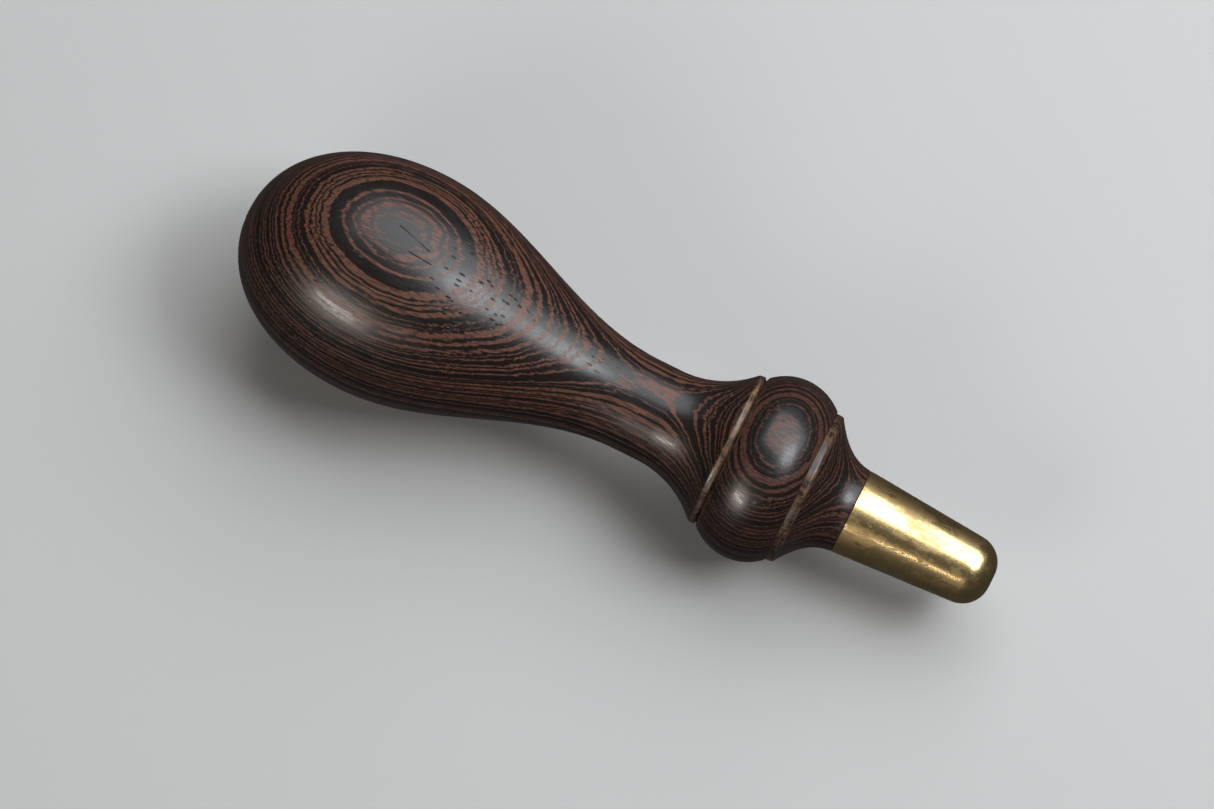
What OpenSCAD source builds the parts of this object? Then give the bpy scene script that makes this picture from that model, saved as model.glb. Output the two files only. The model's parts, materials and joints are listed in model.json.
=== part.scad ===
// Turned hardwood haft with a tapered brass nose ferrule.
//
// Every outline is a list of [x, r] points: x runs along the turning axis from the butt end
// to the nose, and r is the radius there. The tool lies at rest on its palm swell and its
// bead, so its axis dips towards the nose. The origin is the middle of the box around it, at
// the height of the surface that it lies on, and the nose points towards +X.

/* [Palm swell] */
// Greatest radius of the palm swell
palm_r = 18.7; // [17:0.1:20]
// Distance from the butt end to the palm swell's greatest radius
palm_x = 25; // [22:0.5:28]
// Fullness of the butt end: 2 gives an ellipse, more gives a blunter end
butt_fullness = 2.1; // [2:0.05:2.5]

/* [Neck] */
// Least radius of the neck
neck_r = 7.8; // [7:0.1:9]
// Distance from the butt end to the start of the neck's straight stretch
neck_x = 68; // [63:0.5:69]
// Length of the neck's straight stretch
neck_len = 3.7; // [1:0.1:4]
// Radius of the hollow curve that rises from the neck to the rear collar
flare_r = 15.7; // [14:0.1:16.5]

/* [Bead] */
// Greatest radius of the bead
bead_r = 15.2; // [14:0.1:16]
// Width of the bead between its two grooves
bead_w = 11.8; // [11:0.1:12]
// Radius of the bead's own curve along the axis
bead_curve_r = 8.7; // [8.5:0.1:10]
// Radius of the collar behind the bead
rear_collar_r = 12.7; // [12.5:0.1:13]
// Radius of the collar in front of the bead
front_collar_r = 12.6; // [12:0.1:12.8]
// Width of the collar in front of the bead
front_collar_w = 1.4; // [1.2:0.1:2]
// Depth of the grooves beside the bead, below the rear collar
groove_depth = 0.45; // [0.3:0.05:0.6]

/* [Ferrule] */
// Distance from the butt end to the joint between wood and brass
joint_x = 105; // [104:0.5:109]
// Outer radius of the ferrule at the joint
joint_r = 7; // [6.8:0.1:7.5]
// Length of the ferrule
ferrule_len = 24.5; // [23:0.5:28]
// Taper of the ferrule's side, in degrees
ferrule_taper = 4; // [3:0.25:4.5]
// Radius of the nose's rounded shoulder
nose_r = 4.5; // [3.8:0.1:4.6]
// How fast the hollow in front of the bead steepens: 2 gives a parabola
cove_power = 2.2; // [2:0.1:2.6]

/* [Tenon and tang hole] */
// Radius of the tenon that carries the ferrule
tenon_r = 4.5; // [4:0.1:4.6]
// Depth of the socket in the ferrule
socket_depth = 17; // [12:0.5:18]
// Thickness of the adhesive film around the tenon
film_t = 0.1; // [0.05:0.05:0.2]
// Radius of the hole through the nose that takes a blade's tang
tang_r = 1.5; // [1:0.1:1.8]
// Radius of the tang hole's inner end: it tapers through the wood, to grip the tang
tang_end_r = 0.9; // [0.6:0.1:1.4]
// Depth of the tang hole from the nose, without its drilled point
tang_depth = 30; // [22:0.5:36]

/* [Hidden] */

// How finely the curves are stepped, and how round the turned solids are
butt_steps = 26;
palm_steps = 36;
flare_steps = 14;
bead_steps = 16;
cove_steps = 12;
nose_steps = 14;
round_steps = 5;
$fn = 96;

// Small rounds, bevels and gaps
rear_lip_r = 0.9;
front_lip_r = 0.6;
front_lip_angle = 54;
collar_land = 0.55;
groove_w = 0.55;
step_w = 0.1;
rim_bevel = 0.2;
tang_bevel = 0.3;
tenon_bevel = 0.4;
film_end_gap = 0.5;
drill_point_angle = 59;

// The flare and the rear collar's lip are two arcs that meet at one slope
flare_x = neck_x + neck_len;
flare_angle = acos(1 - (rear_collar_r - neck_r) / (flare_r + rear_lip_r));
rear_lip_x = flare_x + (flare_r + rear_lip_r) * sin(flare_angle);

// The bead starts after the rear groove
bead_start_x = rear_lip_x + collar_land + groove_w;
bead_x = bead_start_x + bead_w / 2;
bead_axis_r = bead_r - bead_curve_r;
bead_edge_angle = asin(bead_w / 2 / bead_curve_r);
groove_r = rear_collar_r - groove_depth;

// The front collar ends in a small round, and the cove runs from there to the joint
front_collar_x = bead_x + bead_w / 2 + step_w;
front_lip_x = front_collar_x + front_collar_w - front_lip_r;
cove_x = front_lip_x + front_lip_r * sin(front_lip_angle);
cove_w = joint_x - cove_x;
cove_h = front_collar_r - front_lip_r * (1 - cos(front_lip_angle)) - joint_r - cove_w * tan(ferrule_taper);

// The nose's shoulder is tangent to the ferrule's side and to its end
nose_x = joint_x + ferrule_len;
shoulder_x = nose_x - nose_r;
shoulder_axis_r = joint_r - (shoulder_x - joint_x) * tan(ferrule_taper) - nose_r / cos(ferrule_taper);
tang_mouth_r = tang_r + tang_bevel;
tang_mouth_angle = asin((tang_mouth_r - shoulder_axis_r) / nose_r);

// Tenon, socket and tang hole
tenon_end_x = joint_x + socket_depth;
socket_r = tenon_r + film_t;
tang_end_x = nose_x - tang_depth;
tang_point_x = tang_end_x - tang_end_r / tan(drill_point_angle);

// Outline of the butt end, up to the palm swell's greatest radius
function butt_outline() = [
    for (i = [0:butt_steps])
        let (a = 90 * i / butt_steps)
        [palm_x * (1 - pow(cos(a), 2 / butt_fullness)), palm_r * pow(sin(a), 2 / butt_fullness)]
];

// Outline from the palm swell down to the neck: half a cosine wave
function palm_outline() = [
    for (i = [1:palm_steps])
        let (u = i / palm_steps)
        [palm_x + (neck_x - palm_x) * u, neck_r + (palm_r - neck_r) * (1 + cos(180 * u)) / 2]
];

// Outline of the hollow flare and the rear collar's rounded lip
function flare_outline() = concat(
    [
        for (i = [0:flare_steps])
            let (a = flare_angle * i / flare_steps)
            [flare_x + flare_r * sin(a), neck_r + flare_r * (1 - cos(a))]
    ],
    [
        for (i = [1:round_steps])
            let (a = flare_angle * (1 - i / round_steps))
            [rear_lip_x - rear_lip_r * sin(a), rear_collar_r - rear_lip_r * (1 - cos(a))]
    ]
);

// Outline of the rear groove and the bead
function bead_outline() = concat(
    [
        [rear_lip_x + collar_land, rear_collar_r],
        [rear_lip_x + collar_land + groove_w / 2, groove_r]
    ],
    [
        for (i = [0:bead_steps])
            let (a = bead_edge_angle * (2 * i / bead_steps - 1))
            [bead_x + bead_curve_r * sin(a), bead_axis_r + bead_curve_r * cos(a)]
    ]
);

// Outline of the front collar, its small round, and the cove down to the joint
function cove_outline() = concat(
    [[front_collar_x, front_collar_r]],
    [
        for (i = [0:round_steps])
            let (a = front_lip_angle * i / round_steps)
            [front_lip_x + front_lip_r * sin(a), front_collar_r - front_lip_r * (1 - cos(a))]
    ],
    [
        for (i = [1:cove_steps])
            let (left = 1 - i / cove_steps)
            [
                joint_x - cove_w * left,
                joint_r + cove_w * left * tan(ferrule_taper) + cove_h * pow(left, cove_power)
            ]
    ]
);

// Outline of all the wood that shows
function handle_outline() = concat(
    butt_outline(),
    palm_outline(),
    flare_outline(),
    bead_outline(),
    cove_outline()
);

// Outline of the ferrule's outside, from the rim at the joint to the tang hole's mouth
function ferrule_outline() = concat(
    [
        [joint_x, joint_r - rim_bevel],
        [joint_x + rim_bevel, joint_r - rim_bevel * tan(ferrule_taper)]
    ],
    [
        for (i = [0:nose_steps])
            let (a = 90 - ferrule_taper + (tang_mouth_angle - 90 + ferrule_taper) * i / nose_steps)
            [shoulder_x + nose_r * cos(a), shoulder_axis_r + nose_r * sin(a)]
    ]
);

// Height of the axis at the butt end above the surface that an outline, dipping by tilt, lies on
function rest_height(outline, tilt) = max([for (p = outline) p.x * sin(tilt) + p.y * cos(tilt)]);

// Dip at which the palm swell and the bead touch the surface together, by halving an interval
function rest_tilt(low = 0, high = 20, turns = 24) =
    let (mid = (low + high) / 2)
    turns == 0 ? mid
    : rest_height(palm_outline(), mid) > rest_height(bead_outline(), mid)
        ? rest_tilt(mid, high, turns - 1)
        : rest_tilt(low, mid, turns - 1);

tilt = rest_tilt();
butt_z = rest_height(handle_outline(), tilt);
rear_limit = min([for (p = handle_outline()) p.x * cos(tilt) - p.y * sin(tilt)]);
front_limit = max([for (p = ferrule_outline()) p.x * cos(tilt) + p.y * sin(tilt)]);
butt_x = -(rear_limit + front_limit) / 2;

// Turns a closed outline around the axis and lays the result down at rest
module turned(outline) {
    translate([butt_x, 0, butt_z])
        rotate([0, 90 + tilt, 0])
            rotate_extrude()
                polygon([for (p = outline) [p.y, p.x]]);
}

// Wenge body: palm swell, neck, bead and cove, with a tenon and the tang hole's tapered inner part
module handle() {
    color("#4a2c22")
        turned(concat(
            handle_outline(),
            [
                [joint_x, tenon_r],
                [tenon_end_x - tenon_bevel, tenon_r],
                [tenon_end_x, tenon_r - tenon_bevel],
                [tenon_end_x, tang_r],
                [tang_end_x, tang_end_r],
                [tang_point_x, 0]
            ]
        ));
}

// Sleeve of hardened adhesive that fills the gap between the tenon and the socket
module adhesive_film() {
    film_start_x = joint_x + film_end_gap;
    film_end_x = tenon_end_x - tenon_bevel - film_end_gap;
    color("#c9b27a")
        turned([
            [film_start_x, tenon_r],
            [film_start_x, socket_r],
            [film_end_x, socket_r],
            [film_end_x, tenon_r]
        ]);
}

// Brass ferrule: tapered cap with a blind socket for the tenon and a tang hole through its nose
module ferrule() {
    color("#b79a52")
        turned(concat(
            ferrule_outline(),
            [
                [nose_x - tang_bevel, tang_r],
                [tenon_end_x, tang_r],
                [tenon_end_x, socket_r],
                [joint_x, socket_r]
            ]
        ));
}

handle();
adhesive_film();
ferrule();
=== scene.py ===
"""Turned wenge haft with a brass nose ferrule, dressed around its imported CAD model.

The object's own frame is in metres. Outlines and textures are worked out in the haft's
turning frame, in millimetres: x runs along the axis from the butt end to the nose.
"""

import json
import math

import bmesh
import bpy
from mathutils import Matrix, Vector


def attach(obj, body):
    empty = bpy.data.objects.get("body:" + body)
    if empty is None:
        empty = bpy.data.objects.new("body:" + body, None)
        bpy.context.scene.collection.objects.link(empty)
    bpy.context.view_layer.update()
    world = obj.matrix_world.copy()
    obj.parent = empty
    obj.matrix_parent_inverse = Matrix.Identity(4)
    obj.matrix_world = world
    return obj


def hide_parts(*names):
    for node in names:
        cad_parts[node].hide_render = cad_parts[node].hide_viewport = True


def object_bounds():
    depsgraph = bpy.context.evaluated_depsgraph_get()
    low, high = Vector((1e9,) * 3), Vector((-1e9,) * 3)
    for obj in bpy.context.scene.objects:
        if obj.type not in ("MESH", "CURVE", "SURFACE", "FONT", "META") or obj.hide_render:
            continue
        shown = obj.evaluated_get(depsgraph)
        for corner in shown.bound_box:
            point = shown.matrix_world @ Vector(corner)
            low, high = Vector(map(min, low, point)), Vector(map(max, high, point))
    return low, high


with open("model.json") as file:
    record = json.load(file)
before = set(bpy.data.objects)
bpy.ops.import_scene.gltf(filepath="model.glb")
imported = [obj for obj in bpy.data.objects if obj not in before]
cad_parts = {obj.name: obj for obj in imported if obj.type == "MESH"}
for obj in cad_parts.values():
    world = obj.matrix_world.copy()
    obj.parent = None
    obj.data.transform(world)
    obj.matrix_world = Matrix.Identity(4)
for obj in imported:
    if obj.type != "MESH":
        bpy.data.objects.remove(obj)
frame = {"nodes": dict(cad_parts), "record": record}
cad_low, cad_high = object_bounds()
MM = 0.001

# ---------------------------------------------------------------- sizes, in millimetres

PALM_R = 18.7
PALM_X = 25.0
BUTT_FULLNESS = 2.1
NECK_R = 7.8
NECK_X = 68.0
NECK_LEN = 3.7
FLARE_R = 15.7
BEAD_R = 15.2
BEAD_W = 11.8
BEAD_CURVE_R = 8.7
REAR_COLLAR_R = 12.7
REAR_LIP_R = 0.9
COLLAR_LAND = 0.55
GROOVE_W = 0.55
GROOVE_DEPTH = 0.45
FRONT_COLLAR_R = 12.6
FRONT_COLLAR_W = 1.4
FRONT_LIP_R = 0.6
FRONT_LIP_ANGLE = math.radians(54)
STEP_W = 0.1
JOINT_X = 105.0
JOINT_R = 7.0
COVE_POWER = 2.2
FERRULE_LEN = 24.5
FERRULE_TAPER = math.radians(4)
RIM_BEVEL = 0.2
NOSE_R = 4.5
TENON_R = 4.5
SOCKET_DEPTH = 17.0
FILM_T = 0.1
TANG_BEVEL = 0.3
TENON_BEVEL = 0.4
TANG_DEPTH = 30.0
TANG_END_R = 0.9
DRILL_POINT_ANGLE = math.radians(59)

# The tang hole's mount lies on the turning axis, one bevel inside the nose
TANG_MOUNT = next(m for m in frame["record"]["mounts"] if m["name"] == "tang_bore")
TANG_R = TANG_MOUNT["dims"]["r_mm"]

FLARE_X = NECK_X + NECK_LEN
FLARE_ANGLE = math.acos(1 - (REAR_COLLAR_R - NECK_R) / (FLARE_R + REAR_LIP_R))
REAR_LIP_X = FLARE_X + (FLARE_R + REAR_LIP_R) * math.sin(FLARE_ANGLE)
BEAD_START_X = REAR_LIP_X + COLLAR_LAND + GROOVE_W
BEAD_X = BEAD_START_X + BEAD_W / 2
BEAD_AXIS_R = BEAD_R - BEAD_CURVE_R
BEAD_EDGE_ANGLE = math.asin(BEAD_W / 2 / BEAD_CURVE_R)
FRONT_COLLAR_X = BEAD_X + BEAD_W / 2 + STEP_W
FRONT_LIP_X = FRONT_COLLAR_X + FRONT_COLLAR_W - FRONT_LIP_R
COVE_X = FRONT_LIP_X + FRONT_LIP_R * math.sin(FRONT_LIP_ANGLE)
COVE_W = JOINT_X - COVE_X
COVE_TOP_R = FRONT_COLLAR_R - FRONT_LIP_R * (1 - math.cos(FRONT_LIP_ANGLE))
COVE_H = COVE_TOP_R - JOINT_R - COVE_W * math.tan(FERRULE_TAPER)
NOSE_X = JOINT_X + FERRULE_LEN
SHOULDER_X = NOSE_X - NOSE_R
SHOULDER_AXIS_R = (
    JOINT_R - (SHOULDER_X - JOINT_X) * math.tan(FERRULE_TAPER) - NOSE_R / math.cos(FERRULE_TAPER)
)
TANG_MOUTH_ANGLE = math.asin((TANG_R + TANG_BEVEL - SHOULDER_AXIS_R) / NOSE_R)
TENON_END_X = JOINT_X + SOCKET_DEPTH
SOCKET_R = TENON_R + FILM_T
TANG_END_X = NOSE_X - TANG_DEPTH
TANG_POINT_X = TANG_END_X - TANG_END_R / math.tan(DRILL_POINT_ANGLE)

# Facets around each turned piece, the least radius that counts as a ring, and the bend between
# two faces above which their shared edge is shaded sharp
FACETS = 160
LEAST_RING_R = 1e-6
SHARP_EDGE_ANGLE = math.radians(24)

# ---------------------------------------------------------------- the turning frame

AXIS = Vector(TANG_MOUNT["axis"]).normalized()
BUTT = Vector(TANG_MOUNT["pos_m"]) - AXIS * (NOSE_X - TANG_BEVEL) * MM
SIDE = Vector((0, 1, 0))
UPWARD = AXIS.cross(SIDE)


def turning_matrix():
    """Millimetres in the turning frame (x along the axis, z upward) to metres in the row frame."""
    turn = Matrix((AXIS, SIDE, UPWARD)).transposed().to_4x4()
    return Matrix.Translation(BUTT) @ turn @ Matrix.Scale(MM, 4)


# ---------------------------------------------------------------- outlines, as (x, r) points


def steps(count, first=0):
    """Even fractions up to 1, from first / count."""
    return [i / count for i in range(first, count + 1)]


def butt_outline(count=56):
    power = 2 / BUTT_FULLNESS
    angles = [math.pi / 2 * u for u in steps(count)]
    return [
        (PALM_X * (1 - max(math.cos(a), 0) ** power), PALM_R * math.sin(a) ** power) for a in angles
    ]


def palm_outline(count=80):
    return [
        (
            PALM_X + (NECK_X - PALM_X) * u,
            NECK_R + (PALM_R - NECK_R) * (1 + math.cos(math.pi * u)) / 2,
        )
        for u in steps(count, 1)
    ]


def flare_outline(count=30, lip_count=8):
    points = []
    for u in steps(count):
        angle = FLARE_ANGLE * u
        points.append((FLARE_X + FLARE_R * math.sin(angle), NECK_R + FLARE_R * (1 - math.cos(angle))))
    for u in steps(lip_count, 1):
        angle = FLARE_ANGLE * (1 - u)
        fall = REAR_LIP_R * (1 - math.cos(angle))
        points.append((REAR_LIP_X - REAR_LIP_R * math.sin(angle), REAR_COLLAR_R - fall))
    return points


def bead_outline(count=40):
    groove = [
        (REAR_LIP_X + COLLAR_LAND, REAR_COLLAR_R),
        (REAR_LIP_X + COLLAR_LAND + GROOVE_W / 2, REAR_COLLAR_R - GROOVE_DEPTH),
    ]
    angles = [BEAD_EDGE_ANGLE * (2 * u - 1) for u in steps(count)]
    return groove + [
        (BEAD_X + BEAD_CURVE_R * math.sin(a), BEAD_AXIS_R + BEAD_CURVE_R * math.cos(a)) for a in angles
    ]


def cove_outline(count=30, lip_count=8):
    points = [(FRONT_COLLAR_X, FRONT_COLLAR_R)]
    for u in steps(lip_count):
        angle = FRONT_LIP_ANGLE * u
        fall = FRONT_LIP_R * (1 - math.cos(angle))
        points.append((FRONT_LIP_X + FRONT_LIP_R * math.sin(angle), FRONT_COLLAR_R - fall))
    for u in steps(count, 1):
        left = 1 - u
        rise = COVE_W * left * math.tan(FERRULE_TAPER) + COVE_H * left**COVE_POWER
        points.append((JOINT_X - COVE_W * left, JOINT_R + rise))
    return points


def handle_outline():
    tenon = [
        (JOINT_X, TENON_R),
        (TENON_END_X - TENON_BEVEL, TENON_R),
        (TENON_END_X, TENON_R - TENON_BEVEL),
        (TENON_END_X, TANG_R),
        (TANG_END_X, TANG_END_R),
        (TANG_POINT_X, 0),
    ]
    return butt_outline() + palm_outline() + flare_outline() + bead_outline() + cove_outline() + tenon


def ferrule_outline(side_count=24, nose_count=26):
    points = [(JOINT_X, JOINT_R - RIM_BEVEL)]
    first = (JOINT_X + RIM_BEVEL, JOINT_R - RIM_BEVEL * math.tan(FERRULE_TAPER))
    start = math.pi / 2 - FERRULE_TAPER
    last = (SHOULDER_X + NOSE_R * math.cos(start), SHOULDER_AXIS_R + NOSE_R * math.sin(start))
    for u in steps(side_count):
        points.append((first[0] + (last[0] - first[0]) * u, first[1] + (last[1] - first[1]) * u))
    for u in steps(nose_count, 1):
        angle = start + (TANG_MOUTH_ANGLE - start) * u
        points.append((SHOULDER_X + NOSE_R * math.cos(angle), SHOULDER_AXIS_R + NOSE_R * math.sin(angle)))
    return points + [
        (NOSE_X - TANG_BEVEL, TANG_R),
        (TENON_END_X, TANG_R),
        (TENON_END_X, SOCKET_R),
        (JOINT_X, SOCKET_R),
    ]


# ---------------------------------------------------------------- meshes


def turned_piece(name, outline, closed_loop=False):
    """A closed solid of revolution. An outline's end points with no radius become poles."""
    mesh = bpy.data.meshes.new(name)
    bm = bmesh.new()
    rings = []
    turns = [2 * math.pi * k / FACETS for k in range(FACETS)]
    for x, r in outline:
        if r < LEAST_RING_R:
            rings.append([bm.verts.new((x, 0, 0))])
            continue
        rings.append([bm.verts.new((x, r * math.sin(t), r * math.cos(t))) for t in turns])
    pairs = list(zip(rings, rings[1:]))
    if closed_loop:
        pairs.append((rings[-1], rings[0]))
    for ring, following in pairs:
        for k in range(FACETS):
            after = (k + 1) % FACETS
            corners = [ring[k % len(ring)], following[k % len(following)]]
            if len(following) > 1:
                corners.append(following[after])
            if len(ring) > 1:
                corners.append(ring[after])
            bm.faces.new(corners)
    bm.transform(turning_matrix())
    bmesh.ops.recalc_face_normals(bm, faces=bm.faces)
    bm.to_mesh(mesh)
    bm.free()
    mesh.shade_smooth()
    mesh.set_sharp_from_angle(angle=SHARP_EDGE_ANGLE)
    piece = bpy.data.objects.new(name, mesh)
    bpy.context.scene.collection.objects.link(piece)
    return piece


# ---------------------------------------------------------------- node helpers


class Nodes:
    """Short calls for one material's node tree."""

    def __init__(self, name):
        self.material = bpy.data.materials.new(name)
        self.material.use_nodes = True
        self.tree = self.material.node_tree
        self.shader = self.tree.nodes["Principled BSDF"]

    def new(self, kind, **settings):
        node = self.tree.nodes.new(kind)
        for key, value in settings.items():
            setattr(node, key, value)
        return node

    def feed(self, socket, value):
        """Links a socket, or sets a constant on it."""
        if isinstance(value, bpy.types.NodeSocket):
            self.tree.links.new(value, socket)
        else:
            socket.default_value = value

    def math(self, operation, a, b=0.0, c=0.0):
        node = self.new("ShaderNodeMath", operation=operation)
        for socket, value in zip(node.inputs, (a, b, c)):
            self.feed(socket, value)
        return node.outputs[0]

    def vector(self, operation, a, b=(0, 0, 0), output="Vector"):
        node = self.new("ShaderNodeVectorMath", operation=operation)
        self.feed(node.inputs[0], a)
        self.feed(node.inputs[1], b)
        return node.outputs[output]

    def scaled(self, vector, scale):
        return self.vector("MULTIPLY", vector, scale)

    def turning_coordinates(self, roll=0.0):
        """Millimetres in the turning frame, with z rolled about the axis towards +Y by roll."""
        turn = Matrix((AXIS, SIDE, UPWARD)).transposed() @ Matrix.Rotation(-roll, 3, "X")
        place = self.new("ShaderNodeMapping", vector_type="TEXTURE")
        self.feed(place.inputs["Vector"], self.new("ShaderNodeTexCoord").outputs["Object"])
        self.feed(place.inputs["Location"], BUTT)
        self.feed(place.inputs["Rotation"], turn.to_euler())
        self.feed(place.inputs["Scale"], (MM, MM, MM))
        return place.outputs[0]

    def noise(self, vector, period, detail=2.0, roughness=0.5):
        """Noise whose features are about period millimetres long in x, y and z."""
        node = self.new("ShaderNodeTexNoise")
        self.feed(node.inputs["Vector"], self.scaled(vector, [1 / p for p in period]))
        node.inputs["Scale"].default_value = 1.0
        node.inputs["Detail"].default_value = detail
        node.inputs["Roughness"].default_value = roughness
        return node.outputs["Fac"]

    def noise_along(self, value, period, start):
        """Plain noise along one value, with features about period long, offset by start."""
        node = self.new("ShaderNodeTexNoise", noise_dimensions="1D")
        self.feed(node.inputs["W"], self.math("MULTIPLY_ADD", value, 1 / period, start))
        node.inputs["Scale"].default_value = 1.0
        node.inputs["Detail"].default_value = 1.0
        return node.outputs["Fac"]

    def swing(self, noise, amount):
        """Noise from 0 to 1, turned into a shift from -amount to amount."""
        return self.math("MULTIPLY_ADD", noise, 2 * amount, -amount)

    def ramp(self, value, low, high, to_low=0.0, to_high=1.0, smooth=True):
        """A value mapped from low..high to to_low..to_high, clamped."""
        node = self.new("ShaderNodeMapRange", interpolation_type="SMOOTHSTEP" if smooth else "LINEAR")
        for socket, given in zip(node.inputs, (value, low, high, to_low, to_high)):
            self.feed(socket, given)
        return node.outputs[0]

    def mix(self, factor, a, b):
        node = self.new("ShaderNodeMix", data_type="RGBA")
        self.feed(node.inputs["Factor"], factor)
        self.feed(node.inputs["A"], a)
        self.feed(node.inputs["B"], b)
        return node.outputs["Result"]

    def bump(self, height, distance):
        """Relief on the surface: a height of 1 stands distance metres out."""
        node = self.new("ShaderNodeBump")
        node.inputs["Distance"].default_value = distance
        self.feed(node.inputs["Height"], height)
        self.feed(self.shader.inputs["Normal"], node.outputs[0])


# ---------------------------------------------------------------- materials

# The growth layers lie square to a line that leans from the upward side towards +Y. Places in
# the wood are given along the axis, across the lean, and as a height along it.
LAYER_LEAN = math.radians(12.7)
# Brown layers that ring the tops of the palm and the bead: height and half thickness, in mm
CREST_LAYERS = [
    (18.58, 0.02),
    (18.33, 0.085),
    (18.02, 0.045),
    (17.54, 0.075),
    (16.43, 0.22),
    (15.92, 0.09),
    (15.55, 0.12),
    (15.05, 0.17),
    (14.27, 0.05),
]
LOWEST_CREST_LAYER = 13.9
# Noise shifts each layer: how long its features are along, across and square to the fibres, and
# by how much it moves the layer either way, in mm
WANDER_PERIOD, WANDER = (60, 22, 22), 0.8
RIPPLE_PERIOD, RIPPLE = (13, 3.2, 3.2), 0.25
RAGGED_PERIOD, RAGGED = (4.0, 0.75, 0.75), 0.4
SPIKE_PERIOD, SPIKE = (2.6, 0.26, 0.26), 0.17
RAGGED_PATCH_PERIOD = (11, 4.5, 4.5)
# Brown lines lower down: their pitch, where their noise starts, how far their spacing drifts,
# and how far their thickness varies about its bias
LINE_PITCH = 0.6
LINES_START = 14.6
DRIFT_PERIOD, DRIFT = 1.7, 3.2
THICKNESS_PERIOD, THICKNESS_RANGE, THICKNESS_BIAS = 1.6, 3.4, -1.5
# Where the pores show most, and the ends of two fine checks in the top of the palm
PORE_CROWD = (38, -3, 15.5)
CHECKS = [
    ((24.0, 0.7, 18.7), (29.7, -0.9, 18.35)),
    ((27.0, -2.5, 18.5), (30.8, -2.6, 18.0)),
]
CHECK_HALF_WIDTH = 0.11
# One mark to each cell of this size, with this half length and half width
PORE_CELL, PORE_HALF_LENGTH, PORE_HALF_WIDTH = (2.3, 0.9, 0.9), 0.9, 0.20
DUST_CELL, DUST_RADIUS = (2.4, 2.4, 2.4), 0.08
# Wax on the wood, and the depth of its pores in metres
WAX_SPECULAR = 0.33
WAX_COAT = 0.07
WAX_COAT_ROUGHNESS = 0.11
WOOD_RELIEF = 0.00006

BLACK_WOOD = (0.0042, 0.0032, 0.0028, 1)
DARK_WOOD = (0.0105, 0.0063, 0.0048, 1)
BROWN_WOOD = (0.065, 0.0230, 0.0126, 1)
PALE_BROWN_WOOD = (0.098, 0.0380, 0.0218, 1)
PORE = (0.0025, 0.0018, 0.0014, 1)
# Tan of the rubbed collar edges, which also carries painted light on their lit side and in the rear
# groove
RUBBED_AND_LIT_EDGE = (0.150, 0.086, 0.048, 1)
DUST = (0.36, 0.31, 0.24, 1)
CLEAN_BRASS = (0.66, 0.48, 0.225, 1)
TARNISHED_BRASS = (0.27, 0.18, 0.083, 1)
DEEP_AMBER = (0.50, 0.34, 0.12, 1)
PALE_AMBER = (0.66, 0.50, 0.24, 1)
FINE_RELIEF = 0.00002


def growth_layers(n, p, height):
    """How brown the wood is, from 0 on a dark layer to 1 on a brown one."""
    # Layers wander and ripple, and have edges that are ragged in places, drawn out along the fibres
    wander = n.swing(n.noise(p, WANDER_PERIOD, 1.0), WANDER)
    ripple = n.swing(n.noise(p, RIPPLE_PERIOD, 2.0), RIPPLE)
    raggedness = n.ramp(n.noise(p, RAGGED_PATCH_PERIOD, 1.0), 0.38, 0.62, 0.3, 1.3)
    raggedness = n.math("MULTIPLY", raggedness, n.ramp(height, 17.7, 18.3, 1.0, 0.6))
    ragged = n.swing(n.noise(p, RAGGED_PERIOD, 4.0, 0.62), RAGGED)
    spikes = n.swing(n.noise(p, SPIKE_PERIOD, 2.0, 0.6), SPIKE)
    ragged = n.math("ADD", ragged, spikes)
    ragged = n.math("MULTIPLY", ragged, raggedness)
    layer = n.math("ADD", n.math("ADD", height, wander), n.math("ADD", ripple, ragged))

    # Lower down, brown lines of uneven pitch and thickness
    drift = n.math("MULTIPLY", n.noise_along(layer, DRIFT_PERIOD, LINES_START), DRIFT)
    phase = n.math("ADD", n.math("DIVIDE", layer, LINE_PITCH), drift)
    line = n.math("SINE", n.math("MULTIPLY", phase, 2 * math.pi))
    thin = n.noise_along(layer, THICKNESS_PERIOD, LINES_START)
    thin = n.math("MULTIPLY_ADD", thin, THICKNESS_RANGE, THICKNESS_BIAS)
    lines = n.ramp(n.math("SUBTRACT", line, thin), -0.15, 0.2)
    brown = n.math("MULTIPLY", lines, n.ramp(layer, LOWEST_CREST_LAYER, LOWEST_CREST_LAYER - 0.1))

    # Higher up, the separate layers that ring the palm and the bead
    for middle, half in CREST_LAYERS:
        away = n.math("ABSOLUTE", n.math("SUBTRACT", layer, middle))
        brown = n.math("MAXIMUM", brown, n.ramp(away, half + 0.04, half - 0.03))
    return brown


def dashes(n, p, cell, half_length, half_width):
    """Short marks along the fibres, one to each cell of the given size in millimetres."""
    stretched = n.scaled(p, [1 / c for c in cell])
    cells = n.new("ShaderNodeTexVoronoi")
    n.feed(cells.inputs["Vector"], stretched)
    cells.inputs["Scale"].default_value = 1.0
    halves = (half_length, half_width, half_width)
    offset = n.vector("SUBTRACT", stretched, cells.outputs["Position"])
    offset = n.scaled(offset, [c / h for c, h in zip(cell, halves)])
    return n.ramp(n.vector("LENGTH", offset, output="Value"), 1.0, 0.7)


def check(n, p, start, end):
    """One fine crack, straight between two places in the wood."""
    start, end = Vector(start), Vector(end)
    run = end - start
    from_start = n.vector("SUBTRACT", p, start)
    along = n.vector("DOT_PRODUCT", from_start, run / run.length_squared, output="Value")
    along = n.ramp(along, 0.0, 1.0, smooth=False)
    nearest = n.new("ShaderNodeVectorMath", operation="SCALE")
    n.feed(nearest.inputs[0], run)
    n.feed(nearest.inputs["Scale"], along)
    away = n.vector("DISTANCE", from_start, nearest.outputs[0], output="Value")
    return n.ramp(away, CHECK_HALF_WIDTH * 1.3, CHECK_HALF_WIDTH * 0.7)


def band(n, along, low, high, edge):
    """1 between two stations on the axis, fading over edge millimetres outside them."""
    return n.math("MULTIPLY", n.ramp(along, low - edge, low), n.ramp(along, high + edge, high))


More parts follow.
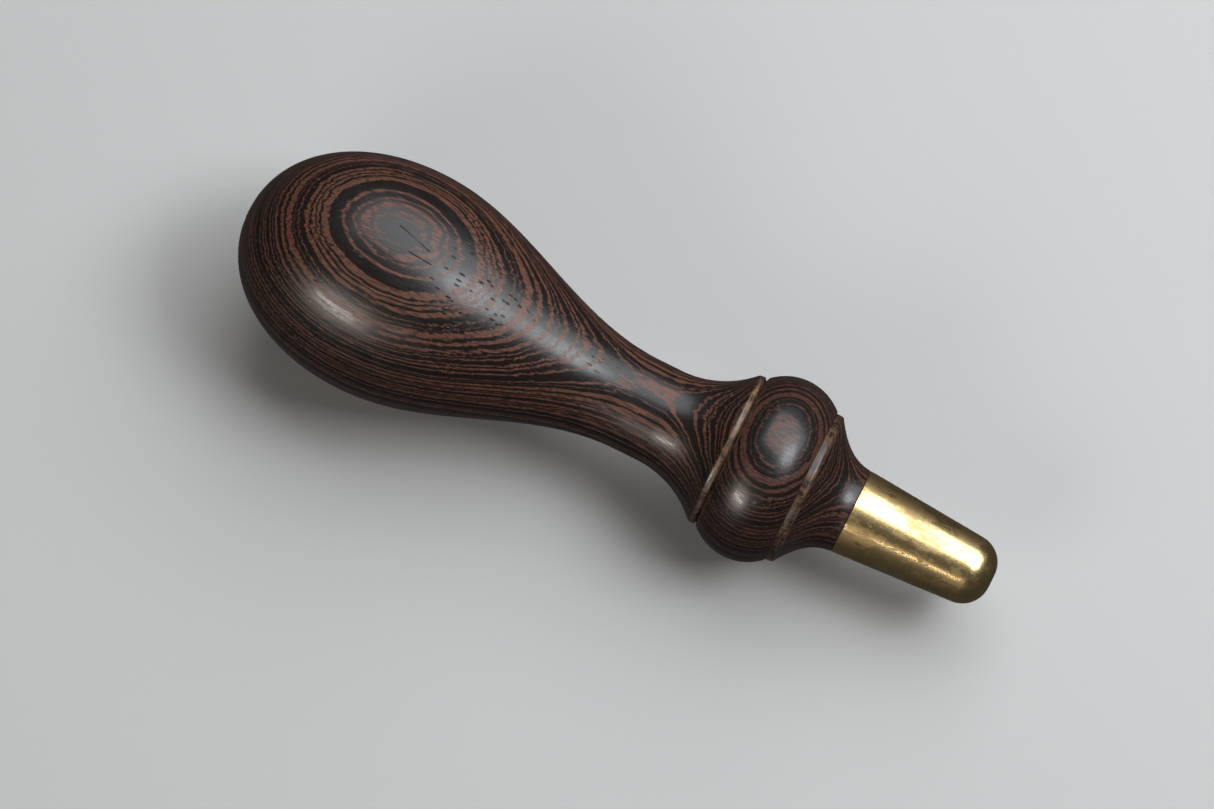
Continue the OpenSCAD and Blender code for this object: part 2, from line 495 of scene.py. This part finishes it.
def wenge():
    """Waxed wenge: dark and brown growth layers that the turned surface cuts, with open pores."""
    n = Nodes("waxed_wenge")
    p = n.turning_coordinates(LAYER_LEAN)
    axes = n.new("ShaderNodeSeparateXYZ")
    n.feed(axes.inputs[0], p)
    along, across, height = axes.outputs

    # The wood is darker on the bead and the cove than on the palm and the neck, its brown layers fainter
    brown = n.math("MULTIPLY", growth_layers(n, p, height), n.ramp(along, 72.0, 88.0, 1.0, 0.6))
    fibre = n.noise(p, (6.0, 0.20, 0.20), 3.0, 0.6)
    fleck = n.ramp(n.noise(p, (2.4, 0.34, 0.34), 2.0, 0.6), 0.38, 0.50, 0.3, 1.0)
    streak = n.ramp(fibre, 0.35, 0.68)
    tone = n.mix(streak, BROWN_WOOD, PALE_BROWN_WOOD)
    colour = n.mix(n.math("MULTIPLY", brown, fleck), n.mix(streak, BLACK_WOOD, DARK_WOOD), tone)

    # The edges of both collars are lighter, the rear one most: partly rubbed wear, partly painted light
    # that grows towards the upward side and -Y, where the light falls on the rims
    rubbed_and_lit = n.ramp(n.noise(p, (0.5, 2.2, 2.2), 4.0, 0.65), 0.40, 0.60, 0.1, 0.9)
    # Painted light: the lightening fades in towards the upward side, the lit side of the rims
    lit_side = n.math("MULTIPLY_ADD", across, -0.5, height)
    rubbed_and_lit = n.math("MULTIPLY", rubbed_and_lit, n.ramp(lit_side, 0.0, 9.0, 0.25, 1.0))
    lip = band(n, along, REAR_LIP_X - 0.1, REAR_LIP_X + COLLAR_LAND - 0.2, 0.2)
    # Painted light: some edge colour in the groove behind the rear lip lifts the shade in it, besides the
    # wax and dust there
    groove = band(n, along, REAR_LIP_X + COLLAR_LAND, BEAD_START_X + 0.1, 0.1)
    front = band(n, along, FRONT_COLLAR_X + 0.1, FRONT_LIP_X + FRONT_LIP_R, 0.15)
    edges = n.math("MAXIMUM", lip, n.math("MULTIPLY", n.math("MAXIMUM", groove, front), 0.4))
    wear_and_painted_light = n.math("MULTIPLY", rubbed_and_lit, edges)
    colour = n.mix(wear_and_painted_light, colour, RUBBED_AND_LIT_EDGE)

    # Open pores, crowded in one place, two checks, and specks of dust
    crowded = n.ramp(n.vector("DISTANCE", p, PORE_CROWD, output="Value"), 10.0, 5.0)
    sparse = n.ramp(n.noise(p, (18, 5, 5), 1.0), 0.58, 0.66)
    shown = n.math("MAXIMUM", crowded, sparse)
    pores = n.math("MULTIPLY", dashes(n, p, PORE_CELL, PORE_HALF_LENGTH, PORE_HALF_WIDTH), shown)
    for start, end in CHECKS:
        pores = n.math("MAXIMUM", pores, check(n, p, start, end))
    colour = n.mix(pores, colour, PORE)
    colour = n.mix(dashes(n, p, DUST_CELL, DUST_RADIUS, DUST_RADIUS), colour, DUST)

    n.feed(n.shader.inputs["Base Color"], colour)
    roughness = n.math("MULTIPLY_ADD", streak, 0.08, n.ramp(brown, 0.0, 1.0, 0.29, 0.43))
    n.feed(n.shader.inputs["Roughness"], n.math("MULTIPLY_ADD", pores, 0.4, roughness))
    n.shader.inputs["Specular IOR Level"].default_value = WAX_SPECULAR
    n.shader.inputs["Coat Weight"].default_value = WAX_COAT
    n.shader.inputs["Coat Roughness"].default_value = WAX_COAT_ROUGHNESS
    relief = n.math("SUBTRACT", n.math("MULTIPLY", fibre, 0.2), pores)
    n.bump(relief, WOOD_RELIEF)
    return n.material


def brass():
    """Polished brass, lightly tarnished and stained by handling."""
    n = Nodes("handled_brass")
    p = n.turning_coordinates()
    stain = n.noise(p, (8, 3.5, 3.5), 5.0, 0.65)
    spots = n.ramp(n.noise(p, (1.5, 0.8, 0.8), 4.0, 0.65), 0.55, 0.64)
    tarnish = n.math("MAXIMUM", n.ramp(stain, 0.46, 0.60, 0.0, 0.9), n.math("MULTIPLY", spots, 0.8))
    n.feed(n.shader.inputs["Base Color"], n.mix(tarnish, CLEAN_BRASS, TARNISHED_BRASS))
    n.shader.inputs["Metallic"].default_value = 1.0
    n.feed(n.shader.inputs["Roughness"], n.ramp(tarnish, 0.0, 1.0, 0.25, 0.44))
    scratches = n.noise(p, (0.07, 3.0, 3.0), 2.0)
    dents = n.noise(p, (3.5, 2.5, 2.5), 2.0)
    n.bump(n.math("ADD", n.math("MULTIPLY", scratches, 0.25), dents), FINE_RELIEF)
    return n.material


def hardened_adhesive():
    """Amber film of hardened adhesive."""
    n = Nodes("hardened_adhesive")
    p = n.turning_coordinates()
    cloud = n.noise(p, (2, 2, 2), 3.0)
    n.feed(n.shader.inputs["Base Color"], n.mix(cloud, DEEP_AMBER, PALE_AMBER))
    n.feed(n.shader.inputs["Roughness"], n.ramp(cloud, 0.3, 0.7, 0.18, 0.4))
    n.bump(cloud, FINE_RELIEF)
    return n.material


# ---------------------------------------------------------------- the object

handle = turned_piece("handle_turning", handle_outline())
handle.data.materials.append(wenge())
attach(handle, "root")
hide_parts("handle")

ferrule = turned_piece("ferrule_turning", ferrule_outline(), closed_loop=True)
ferrule.data.materials.append(brass())
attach(ferrule, "root")
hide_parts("ferrule")

film = frame["nodes"]["adhesive_film"]
film.data.materials.clear()
film.data.materials.append(hardened_adhesive())

# ---------------------------------------------------------------- floor, light and camera

CENTRE = (cad_low + cad_high) / 2
FLOOR_SIZE = 3.0
FLOOR_COLOUR = (0.35, 0.343, 0.336, 1)
FLOOR_ROUGHNESS = 0.9
SURROUNDINGS_COLOUR = (0.93, 0.96, 1.0, 1)
SURROUNDINGS_STRENGTH = 0.06
COOL_LIGHT = (0.92, 0.96, 1.0)
WARM_LIGHT = (1.0, 0.96, 0.90)
AMBER_LIGHT = (1.0, 0.94, 0.84)
# Area lights: name, azimuth, elevation, distance, width, height, watts, colour, for glints only
LIGHTS = [
    ("large_softbox", 165, 54, 0.75, 1.05, 0.72, 10.4, COOL_LIGHT, False),
    ("bright_softbox", 116, 54, 0.8, 0.34, 0.30, 4.0, COOL_LIGHT, False),
    ("front_softbox", -20, 31, 0.8, 0.44, 0.28, 2.1, WARM_LIGHT, False),
    ("strip_light", -22, 29, 0.9, 0.34, 0.028, 3.4, AMBER_LIGHT, True),
    ("nose_light", 14, 35, 0.9, 0.12, 0.03, 0.26, AMBER_LIGHT, True),
]
# The camera stands far off with a long lens, and aims a little left of and below the centre
CAMERA_AZIMUTH = 26.5
CAMERA_ELEVATION = 77.4
CAMERA_DISTANCE = 0.7315
CAMERA_SHIFT = -0.0019
LENS = 139.4
SENSOR_WIDTH = 36
NEAR_CLIP = 0.01


def direction(azimuth, elevation):
    a, e = math.radians(azimuth), math.radians(elevation)
    return Vector((math.sin(a) * math.cos(e), -math.cos(a) * math.cos(e), math.sin(e)))


def pale_floor():
    mesh = bpy.data.meshes.new("floor")
    half = FLOOR_SIZE / 2
    corners = [(-half, -half, 0), (half, -half, 0), (half, half, 0), (-half, half, 0)]
    mesh.from_pydata(corners, [], [(0, 1, 2, 3)])
    n = Nodes("pale_floor")
    n.shader.inputs["Base Color"].default_value = FLOOR_COLOUR
    n.shader.inputs["Roughness"].default_value = FLOOR_ROUGHNESS
    mesh.materials.append(n.material)
    floor = bpy.data.objects.new("floor", mesh)
    bpy.context.scene.collection.objects.link(floor)
    # Mirrored in the wax and the brass, a pale floor would lay a haze over the dark flanks
    floor.visible_glossy = False


def softbox(name, azimuth, elevation, distance, width, height, watts, colour, glint_only):
    """A rectangular area light that faces the object, at a distance in metres.

    One for glints only shows in glossy reflections, and gives no diffuse light and no shadow.
    """
    data = bpy.data.lights.new(name, "AREA")
    data.color = colour
    data.shape = "RECTANGLE"
    data.size = width
    data.size_y = height
    data.energy = watts
    lamp = bpy.data.objects.new(name, data)
    lamp.visible_diffuse = not glint_only
    towards = direction(azimuth, elevation)
    lamp.location = CENTRE + towards * distance
    lamp.rotation_euler = towards.to_track_quat("Z", "Y").to_euler()
    bpy.context.scene.collection.objects.link(lamp)


def soft_surroundings():
    world = bpy.data.worlds.new("surroundings")
    world.use_nodes = True
    background = world.node_tree.nodes["Background"]
    background.inputs["Color"].default_value = SURROUNDINGS_COLOUR
    background.inputs["Strength"].default_value = SURROUNDINGS_STRENGTH
    bpy.context.scene.world = world


def camera():
    data = bpy.data.cameras.new("camera")
    data.sensor_width = SENSOR_WIDTH
    data.lens = LENS
    data.clip_start = NEAR_CLIP
    cam = bpy.data.objects.new("camera", data)
    back = direction(CAMERA_AZIMUTH, CAMERA_ELEVATION)
    right = Vector((0, 0, 1)).cross(back).normalized()
    up = back.cross(right)
    target = CENTRE + right * CAMERA_SHIFT + up * CAMERA_SHIFT
    cam.location = target + back * CAMERA_DISTANCE
    cam.rotation_euler = back.to_track_quat("Z", "Y").to_euler()
    bpy.context.scene.collection.objects.link(cam)
    bpy.context.scene.camera = cam


pale_floor()
for light in LIGHTS:
    softbox(*light)
soft_surroundings()
camera()
bpy.context.scene.view_settings.view_transform = "Standard"
